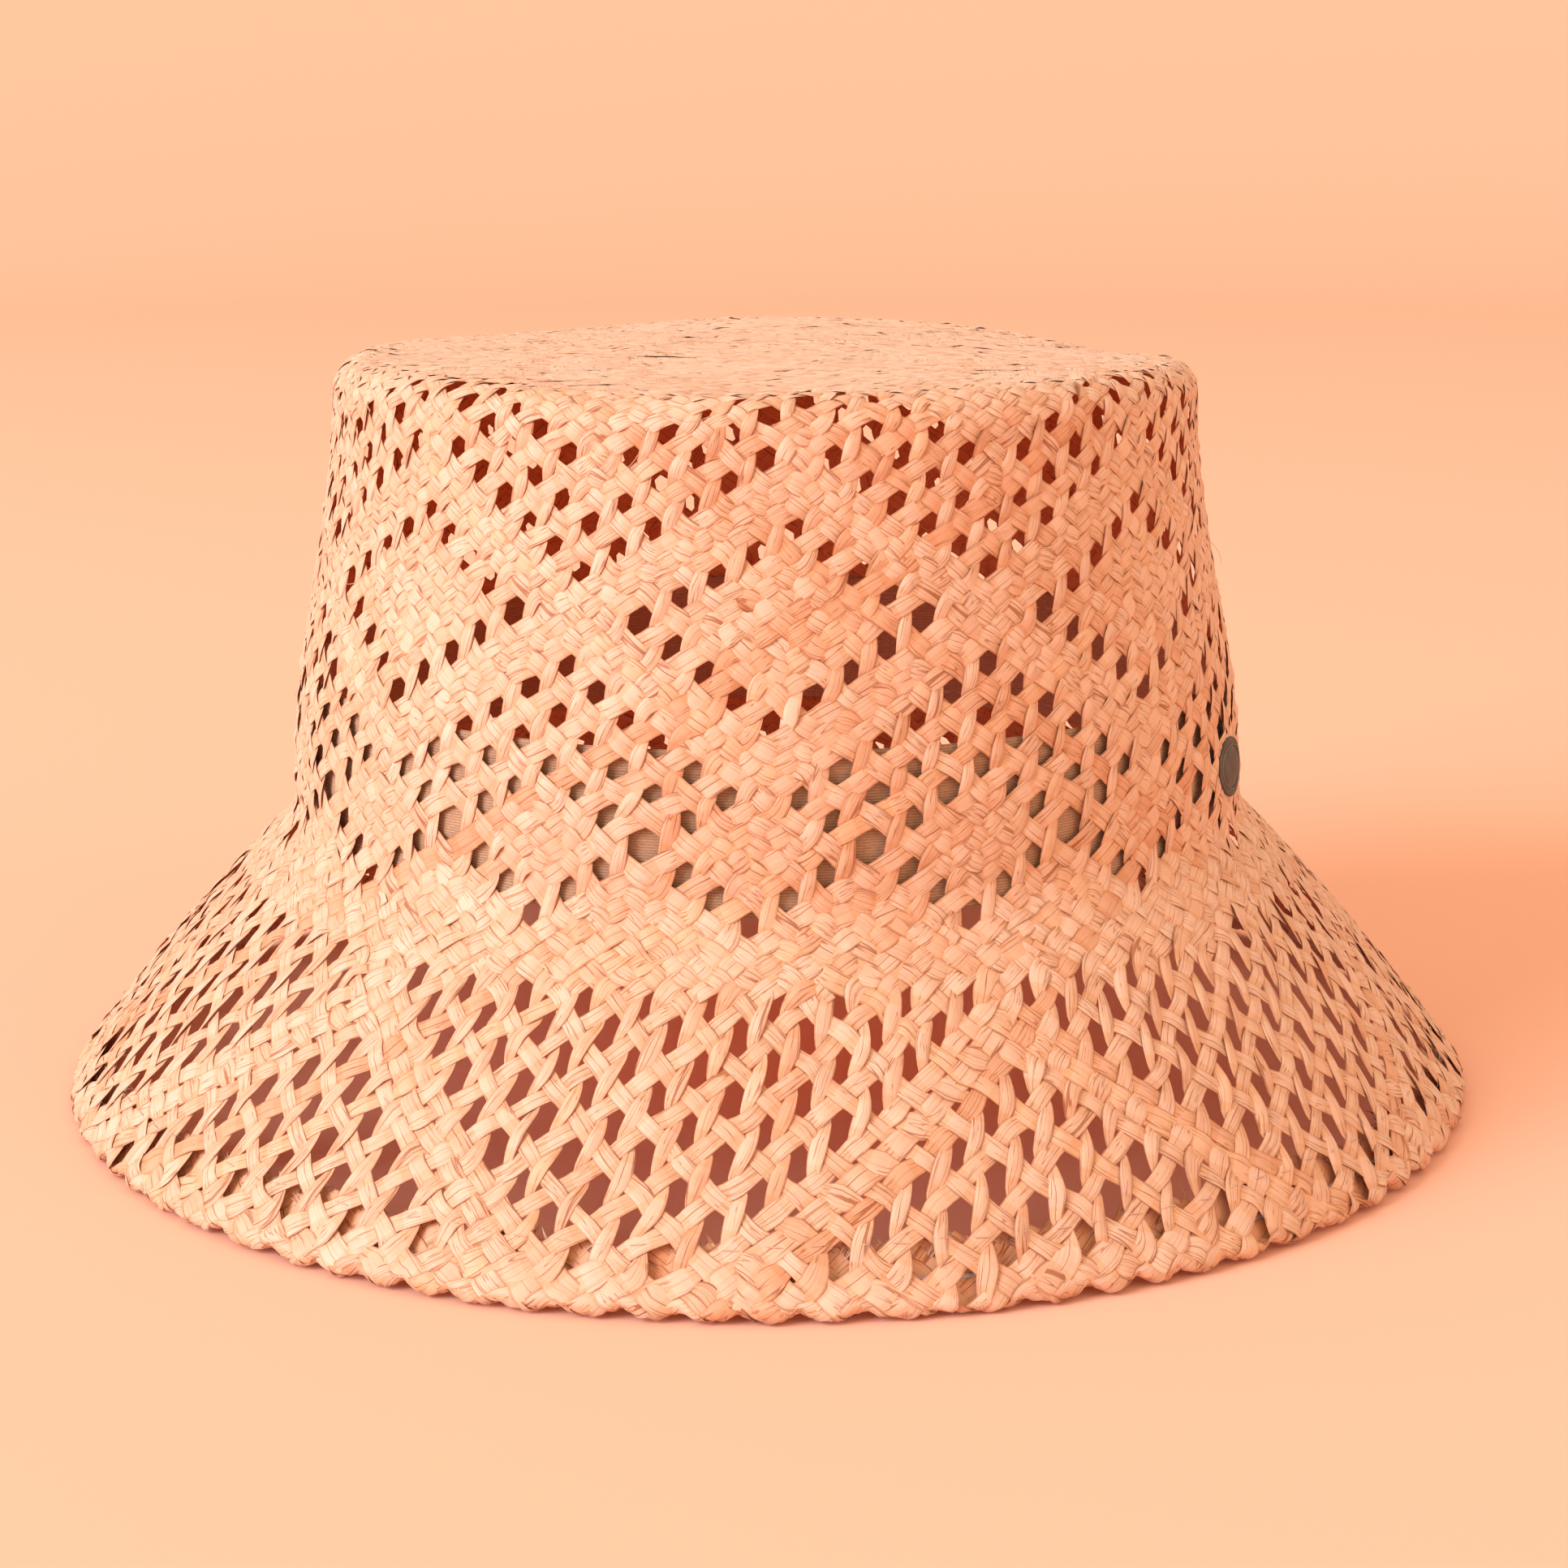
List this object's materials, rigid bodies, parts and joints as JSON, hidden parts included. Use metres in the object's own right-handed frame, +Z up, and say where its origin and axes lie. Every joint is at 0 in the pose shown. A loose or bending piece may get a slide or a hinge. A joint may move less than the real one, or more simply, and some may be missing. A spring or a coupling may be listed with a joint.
{
  "type": "straw bucket sun hat",
  "caption": "Openwork woven straw sun hat with a flat-topped crown, a sloping down-turned brim, a sweatband and a bare oval side patch.",
  "frame": {"origin": "middle of the ring that the brim's edge stands on, on the ground", "axes": "+Z up through the middle of the crown, -Y towards the hat's front"},
  "size_m": [0.2846, 0.2846, 0.146],
  "materials": {
    "straw": "woven natural raffia straw",
    "straw_edge": "folded raffia straw edge",
    "clear_cord": "clear nylon cord",
    "band_cloth": "ribbed taupe cotton band",
    "patch_leather": "plain soft leather"
  },
  "bodies": {
    "root": {"crown": "straw", "brim": "straw", "brim_edge": "straw_edge", "edge_cord": "clear_cord", "sweatband": "band_cloth", "side_patch": "patch_leather"}
  },
  "joints": []
}
